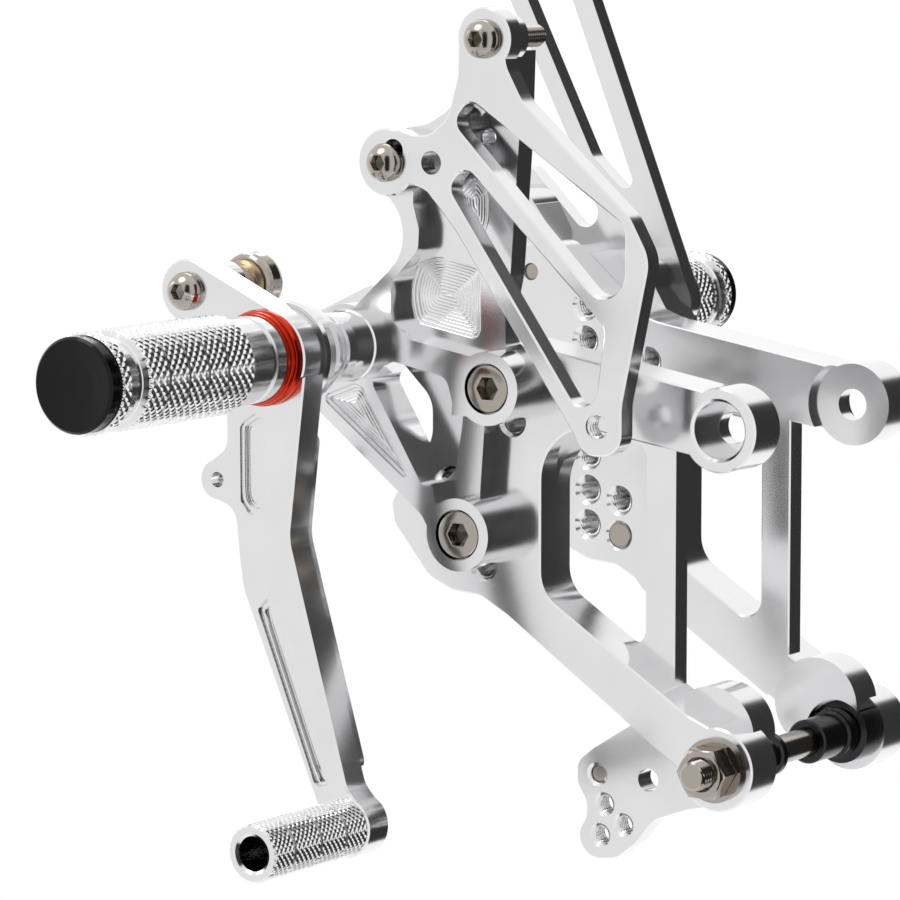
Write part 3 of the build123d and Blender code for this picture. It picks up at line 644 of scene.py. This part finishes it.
class REARSET_OT_screws(bpy.types.Operator):
    """Socket screws with winding threads, the threaded axle and its nut"""
    bl_idname = "rearset.screws"
    bl_label = "Screws"

    def execute(self, context):
        tree = thread_tree()
        share = context.scene.rearset_screws.thread_share
        steel = FINISHES["stainless"]

        def make(name, bodies, out, size, body, node, closed=False):
            """Turns and threads one steel piece that stands for a node."""
            piece = turned_mesh(name, bodies, out, SCREW_COLUMNS, steel, closed=closed)
            depth = size["pitch"] * share * MM
            values = {"Depth": depth, "Columns": float(SCREW_COLUMNS), "Finish": steel}
            run_tree(piece, tree, values, SCREW_SHARP)
            settle(piece, body, "stainless", node)

        for side in SIDES:
            out = side_sign(side)
            rows = screw_rows(PEG_FACE - COUNTERBORE, M8, *PLATE_SCREW)
            bodies = [(spot(at), rows) for at in PLATE_SCREWS[side]]
            make(side + "_socket_screws", bodies, out, M8, "plates", side + "_plate_bolts")
            pair = zip(GUARD_SCREWS[side], (HIGH_GUARD_SCREW, LOW_GUARD_SCREW))
            bodies = [(spot(at), screw_rows(GUARD_FACE, M6, *lengths)) for at, lengths in pair]
            make(side + "_guard_screws", bodies, out, M6, "plates", side + "_guard_bolts")
            place, start, end = node_axis(side + "_link_bolt")
            seat = end - M6["high"]
            bodies = [(place, screw_rows(seat, M6, seat - start, LINK_THREAD))]
            make(side + "_link_screw", bodies, out, M6, side + "_lever_arm", side + "_link_bolt")

        low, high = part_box("axle_bolt")
        start, end = low.y / MM, high.y / MM
        first, last = start + AXLE_THREAD[0], start + AXLE_THREAD[1]
        neck = end - HEX_HIGH
        rows = plain_rows([(0, start), (AXLE_TIP_R, start)])
        rows += marked_rows(M8["shank"], first, last, M8["pitch"] / THREAD_STEPS)
        rows += plain_rows([(AXLE_R, last + 0.4), (AXLE_R, neck)])
        rows += hex_rows(neck, end, HEX_WIDTH) + plain_rows([(0, end)])
        make("threaded_axle", [((0.0, 0.0), rows)], 1.0, M8, "plates", "axle_bolt")

        _, start, end = node_axis("axle_nut")
        rows = plain_rows([(NUT_BORE, start)]) + hex_rows(start, end, HEX_WIDTH)
        rows += plain_rows([(NUT_BORE + 0.78, end), (NUT_BORE, end - 0.8)])
        make("chamfered_nut", [((0.0, 0.0), rows)], -1.0, M8, "plates", "axle_nut", closed=True)
        return {"FINISHED"}


class REARSET_OT_tapped(bpy.types.Operator):
    """Thread turns inside the open tapped holes"""
    bl_idname = "rearset.tapped"
    bl_label = "Tapped holes"

    def execute(self, context):
        tree = thread_tree()
        finish = FINISHES["machined_alloy"]
        jobs = []
        for side in SIDES:
            holes = [(at, BASE_SPAN) for at in OPEN_TAPPED[side]] + [(GUARD_TIPS[side], TIP_SPAN)]
            jobs.append((side, "_tapped_rows", M8, holes))
            if side == "left":
                holes = [(at, FLANGE_SPAN) for at in FLANGE_TAPPED] + [(PLATE_TAPPED, PLATE_SPAN)]
                jobs.append((side, "_tapped_small", M6, holes))
        for side, name, size, holes in jobs:
            bodies = [(spot(at), liner_rows(size, *span)) for at, span in holes]
            piece = turned_mesh(side + name, bodies, side_sign(side), THREAD_COLUMNS, finish,
                                closed=True, inward=True)
            values = {"Depth": size["cut"] * MM, "Columns": float(THREAD_COLUMNS), "Finish": finish}
            run_tree(piece, tree, values, LINER_SHARP)
            settle(piece, "plates", "machined_alloy")
        return {"FINISHED"}


# Milled pockets

# Width of one step of a stepped pocket
POCKET_STEP = 1.1
# Points round a pocket, and rows for each cutter ring
POCKET_POINTS = 96
RING_ROWS = 6
# Higher gives sharper corners
CORNER_POWER = 16
# The made floor lies just above the CAD floor and runs a little into the wall
FLOOR_LIFT = 0.04
WALL_REACH = 0.15
UNDERSIDE = 0.1
MIDDLE_ROOM = 0.25
STEP_EDGE = 0.01


def pocket_sides(corners):
    """The corners in turning order, and the inward normal and distance of each side."""
    area = sum(corners[i - 1][0] * c[1] - c[0] * corners[i - 1][1] for i, c in enumerate(corners))
    ring = corners if area > 0 else corners[::-1]
    sides = []
    for i, c in enumerate(ring):
        b = ring[i - 1]
        size = math.dist(b, c)
        n = (-(c[1] - b[1]) / size, (c[0] - b[0]) / size)
        sides.append((n, -(n[0] * b[0] + n[1] * b[1])))
    return ring, sides


def deepest(corners, sides):
    """The point furthest from every side, and how far it is."""
    at = [sum(c[k] for c in corners) / len(corners) for k in (0, 1)]

    def room(p):
        return min(n[0] * p[0] + n[1] * p[1] + off for n, off in sides)

    # Walks to better places in ever smaller steps.
    step, ways = 4.0, [a * math.pi / 8 for a in range(16)]
    while step > 0.01:
        best = max(((at[0] + step * math.cos(a), at[1] + step * math.sin(a)) for a in ways), key=room)
        if room(best) > room(at):
            at = best
        else:
            step *= 0.6
    return at, room(at)


def pocket_mesh(name, corners, out, top, depth, steps, pitch, material):
    """Floor of a pocket in rows that follow its wall inwards; the last two rows close it below."""
    ring, sides = pocket_sides(corners)
    middle, room = deepest(ring, sides)
    outer = []
    total = sum(math.dist(ring[i - 1], c) for i, c in enumerate(ring))
    for i, c in enumerate(ring):
        b = ring[i - 1]
        share = max(4, round(POCKET_POINTS * math.dist(b, c) / total))
        dx, dz = c[0] - b[0], c[1] - b[1]
        outer += [(b[0] + dx * k / share, b[1] + dz * k / share) for k in range(share)]
    angles = [math.atan2(p[1] - middle[1], p[0] - middle[0]) for p in outer]

    def reach(angle, wall):
        """Distance from the middle to a line that keeps so far from the wall, with soft corners."""
        total = 0.0
        for n, off in sides:
            facing = -(math.cos(angle) * n[0] + math.sin(angle) * n[1])
            gap = n[0] * middle[0] + n[1] * middle[1] + off - wall
            if facing > 1e-6:
                total += (facing / max(gap, 0.02)) ** CORNER_POWER
        return total ** (-1 / CORNER_POWER)

    def floor(wall):
        """Distance of the stepped floor from the middle plane, so far from the wall."""
        return top - depth * min(steps, int(max(wall, 0.0) / POCKET_STEP) + 1) / steps + FLOOR_LIFT

    inner = int((room - MIDDLE_ROOM) / (pitch / RING_ROWS))
    walls = [-WALL_REACH] + [k * pitch / RING_ROWS for k in range(inner + 1)]
    for k in range(1, steps):
        walls += [k * POCKET_STEP - STEP_EDGE, k * POCKET_STEP + STEP_EDGE]
    walls = sorted(walls, reverse=True)
    size = len(angles)
    verts = [(middle[0], floor(room), middle[1])]
    marks = [walls[0] * MM]
    for wall in walls:
        for a in angles:
            r = reach(a, wall)
            verts.append((middle[0] + r * math.cos(a), floor(wall), middle[1] + r * math.sin(a)))
        marks += [max(wall, 0.0) * MM] * size
    under = top - depth - UNDERSIDE
    verts += [(x, under, z) for x, _, z in verts[-size:]]
    marks += [-1.0] * size
    faces = [(0, 1 + k, 1 + (k + 1) % size) for k in range(size)]
    for row in range(len(walls)):
        a, b = 1 + row * size, 1 + (row + 1) * size
        faces += [(a + k, b + k, b + (k + 1) % size, a + (k + 1) % size) for k in range(size)]
    last = 1 + len(walls) * size
    faces.append(tuple(last + k for k in range(size))[::-1])
    placed = [(x * MM, out * y * MM, z * MM) for x, y, z in verts]
    piece = mesh_piece(name, placed, [f[::-1] for f in faces] if out > 0 else faces, material)
    mark_points(piece, "wall", "FLOAT", marks)
    mark_points(piece, "aside", "FLOAT_VECTOR", [0.0, out, 0.0] * len(marks))
    return piece


class REARSET_PG_pockets(bpy.types.PropertyGroup):
    """Sizes of the cutter rings."""
    ring_pitch: bpy.props.FloatProperty(
        name="Ring pitch", description="Distance between two cutter rings",
        default=0.9 * MM, min=0.6 * MM, max=2.0 * MM, unit="LENGTH")
    ring_share: bpy.props.FloatProperty(
        name="Ring height", description="Height of the cutter rings against their usual height",
        default=1.0, min=0.2, max=1.5, subtype="FACTOR")


class REARSET_OT_pockets(bpy.types.Operator):
    """Ringed floors of the milled pockets in the near peg plate and the levers"""
    bl_idname = "rearset.pockets"
    bl_label = "Milled pockets"

    def execute(self, context):
        tree = ring_tree()
        sizes = context.scene.rearset_pockets
        finish = FINISHES["machined_alloy"]
        jobs = [("left_" + pocket[0], "plates", -1.0) + pocket[1:] for pocket in PLATE_POCKETS]
        for side in SIDES:
            for name, depth, steps, relief, corners in LEVER_POCKETS:
                jobs.append((side + "_" + name, side + "_lever_arm", side_sign(side), LEVER_FACE[side],
                             depth, steps, relief, [lever_spot(side, c) for c in corners]))
        for name, body, out, top, depth, steps, relief, corners in jobs:
            piece = pocket_mesh(name, corners, out, top, depth, steps, sizes.ring_pitch / MM, finish)
            values = {"Relief": relief * sizes.ring_share * MM, "Pitch": sizes.ring_pitch, "Finish": finish}
            run_tree(piece, tree, values, POCKET_SHARP)
            settle(piece, body, "machined_alloy")
        return {"FINISHED"}


# Stage

FLOOR_Z = -0.30
FLOOR_R = 1.2
FLOOR_POINTS = 96
FLOOR_GLOW = 0.85

# What the metal mirrors: dark panels between compass angles in degrees, from
# low to high as a share of straight up, in a room paler at the back
DARK_PANELS = ((9, 104), (134, 168))
PANEL_EDGE = 6
PANEL_LOW, PANEL_HIGH, PANEL_END = -0.75, 0.66, 0.1
PANEL_TONE = 0.03
ROOM_FRONT, ROOM_BACK = 0.92, 1.08
ROOM_TURN = (-0.9, 0.1)
# What lights the rest, and what the camera sees
ROOM_LIGHT = 0.6
ROOM_SEEN = 1.0

LAMP_TARGET = (-0.07, 0.0, 0.08)
# Name, place, size and power
LAMPS = (
    ("Key", (-0.5, -0.7, 1.3), 0.8, 4.0),
    ("Fill", (-1.4, -0.6, 0.4), 0.9, 2.5),
    ("Back", (-1.0, 1.1, 1.1), 0.9, 4.0),
)

CAMERA_PLACE = (0.651189, -1.146650, 0.245274)
CAMERA_AZIMUTH = 33.7
CAMERA_ELEVATION = 7.1
CAMERA_LENS = 195.2
CAMERA_SENSOR = 36.0
CAMERA_CLIP = (0.05, 50.0)


def build_floor():
    """Pale disc below the part."""
    mat, tree = new_material("Pale floor")
    rays = add_node(tree, "ShaderNodeLightPath").outputs
    card = add_node(tree, "ShaderNodeBsdfPrincipled", {"Base Color": srgb("#F4F4F4"), "Roughness": 0.9})
    glow = add_node(tree, "ShaderNodeEmission", {"Color": WHITE, "Strength": FLOOR_GLOW})
    lit = add_node(tree, "ShaderNodeAddShader", {0: card, 1: glow})
    seen = add_node(tree, "ShaderNodeMath", {0: rays["Is Camera Ray"], 1: rays["Is Transmission Ray"]},
                    operation="MAXIMUM")
    plain = add_node(tree, "ShaderNodeMixShader", {0: seen, 1: card, 2: lit})
    # Metal mirrors the room's own pale and dark panels below the floor too.
    clear = add_node(tree, "ShaderNodeBsdfTransparent")
    pick = add_node(tree, "ShaderNodeMixShader", {0: rays["Is Glossy Ray"], 1: plain, 2: clear})
    add_node(tree, "ShaderNodeOutputMaterial", {"Surface": pick})
    turns = [2 * math.pi * i / FLOOR_POINTS for i in range(FLOOR_POINTS)]
    ring = [(FLOOR_R * math.cos(a), FLOOR_R * math.sin(a), FLOOR_Z) for a in turns]
    floor = mesh_piece("floor", ring, [tuple(range(FLOOR_POINTS))], mat)


def build_world():
    """White room with dark panels that only the metal mirrors."""
    world = bpy.data.worlds.new("Studio")
    bpy.context.scene.world = world
    world.use_nodes = True
    tree = world.node_tree
    tree.nodes.clear()
    rays = add_node(tree, "ShaderNodeLightPath").outputs
    way = add_node(tree, "ShaderNodeTexCoord").outputs["Generated"]
    xyz = add_node(tree, "ShaderNodeSeparateXYZ", {0: way}).outputs
    compass = add_node(tree, "ShaderNodeMath", {0: xyz["X"], 1: xyz["Y"]}, operation="ARCTAN2")

    def span(source, low, high, soft):
        """One inside the span, nought outside, with soft edges."""
        rise = add_node(tree, "ShaderNodeMapRange",
                        {"Value": source, "From Min": low, "From Max": low + soft},
                        interpolation_type="SMOOTHSTEP")
        fall = add_node(tree, "ShaderNodeMapRange",
                        {"Value": source, "From Min": high - soft, "From Max": high,
                         "To Min": 1.0, "To Max": 0.0},
                        interpolation_type="SMOOTHSTEP")
        return add_node(tree, "ShaderNodeMath", {0: rise, 1: fall}, operation="MULTIPLY")

    wide, narrow = [span(compass, math.radians(low), math.radians(high), math.radians(PANEL_EDGE))
                    for low, high in DARK_PANELS]
    height = span(xyz["Z"], PANEL_LOW, PANEL_HIGH, PANEL_END)
    both = add_node(tree, "ShaderNodeMath", {0: wide, 1: narrow}, operation="ADD")
    panel = add_node(tree, "ShaderNodeMath", {0: both, 1: height}, operation="MULTIPLY")
    # The front of the room is a little greyer than its top and back.
    room = add_node(tree, "ShaderNodeMapRange",
                    {"Value": xyz["Y"], "From Min": ROOM_TURN[0], "From Max": ROOM_TURN[1],
                     "To Min": ROOM_FRONT, "To Max": ROOM_BACK},
                    interpolation_type="SMOOTHSTEP")
    dark = add_node(tree, "ShaderNodeMapRange", {"Value": panel, "To Min": 1.0, "To Max": PANEL_TONE})
    mirrored = add_node(tree, "ShaderNodeMath", {0: dark, 1: room}, operation="MULTIPLY")
    lit = add_node(tree, "ShaderNodeMix", {0: rays["Is Glossy Ray"], 2: ROOM_LIGHT, 3: mirrored},
                   data_type="FLOAT")
    seen = add_node(tree, "ShaderNodeMath", {0: rays["Is Camera Ray"], 1: rays["Is Transmission Ray"]},
                    operation="MAXIMUM")
    strength = add_node(tree, "ShaderNodeMix", {0: seen, 2: lit, 3: ROOM_SEEN}, data_type="FLOAT")
    back = add_node(tree, "ShaderNodeBackground", {"Color": WHITE, "Strength": strength})
    add_node(tree, "ShaderNodeOutputWorld", {"Surface": back})


def build_lamps():
    """Round lamps that face the middle of the part."""
    for name, place, size, power in LAMPS:
        data = bpy.data.lights.new(name, "AREA")
        data.shape = "DISK"
        data.size = size
        data.energy = power
        lamp = bpy.data.objects.new(name, data)
        lamp.location = place
        lamp.rotation_euler = (Vector(LAMP_TARGET) - Vector(place)).to_track_quat("-Z", "Y").to_euler()
        bpy.context.scene.collection.objects.link(lamp)


def build_camera():
    """Camera where the photograph was taken from."""
    data = bpy.data.cameras.new("Camera")
    data.sensor_width = CAMERA_SENSOR
    data.lens = CAMERA_LENS
    data.clip_start, data.clip_end = CAMERA_CLIP
    camera = bpy.data.objects.new("Camera", data)
    camera.location = CAMERA_PLACE
    camera.rotation_euler = (math.radians(90 - CAMERA_ELEVATION), 0.0, math.radians(CAMERA_AZIMUTH))
    bpy.context.scene.collection.objects.link(camera)
    bpy.context.scene.camera = camera
    bpy.context.scene.view_settings.view_transform = "Standard"


class REARSET_OT_stage(bpy.types.Operator):
    """Pale floor, white room with dark panels for the metal to mirror, lamps and camera"""
    bl_idname = "rearset.stage"
    bl_label = "Stage"

    def execute(self, context):
        build_floor()
        build_world()
        build_lamps()
        build_camera()
        return {"FINISHED"}


# Add-on

class REARSET_PT_panel(bpy.types.Panel):
    """Lists the steps in order"""
    bl_label = "Rear Set"
    bl_idname = "REARSET_PT_panel"
    bl_space_type = "VIEW_3D"
    bl_region_type = "UI"
    bl_category = "Rear Set"

    def draw(self, context):
        for step in STEPS:
            self.layout.operator(step.bl_idname)


STEPS = (REARSET_OT_finishes, REARSET_OT_footpegs, REARSET_OT_screws, REARSET_OT_tapped, REARSET_OT_pockets,
         REARSET_OT_stage)
GROUPS = (("rearset_finish", REARSET_PG_finish), ("rearset_pegs", REARSET_PG_pegs),
          ("rearset_screws", REARSET_PG_screws), ("rearset_pockets", REARSET_PG_pockets))


def register():
    """Adds the property groups, the operators and the panel."""
    for name, group in GROUPS:
        bpy.utils.register_class(group)
        setattr(bpy.types.Scene, name, bpy.props.PointerProperty(type=group))
    for step in STEPS + (REARSET_PT_panel,):
        bpy.utils.register_class(step)


def unregister():
    """Takes them away again."""
    for step in (REARSET_PT_panel,) + STEPS[::-1]:
        bpy.utils.unregister_class(step)
    for name, group in GROUPS[::-1]:
        delattr(bpy.types.Scene, name)
        bpy.utils.unregister_class(group)


def main():
    """Dresses the loaded part, step by step."""
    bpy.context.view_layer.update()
    register()
    bpy.ops.rearset.finishes()
    bpy.ops.rearset.footpegs()
    bpy.ops.rearset.screws()
    bpy.ops.rearset.tapped()
    bpy.ops.rearset.pockets()
    bpy.ops.rearset.stage()


if __name__ == "__main__":
    main()
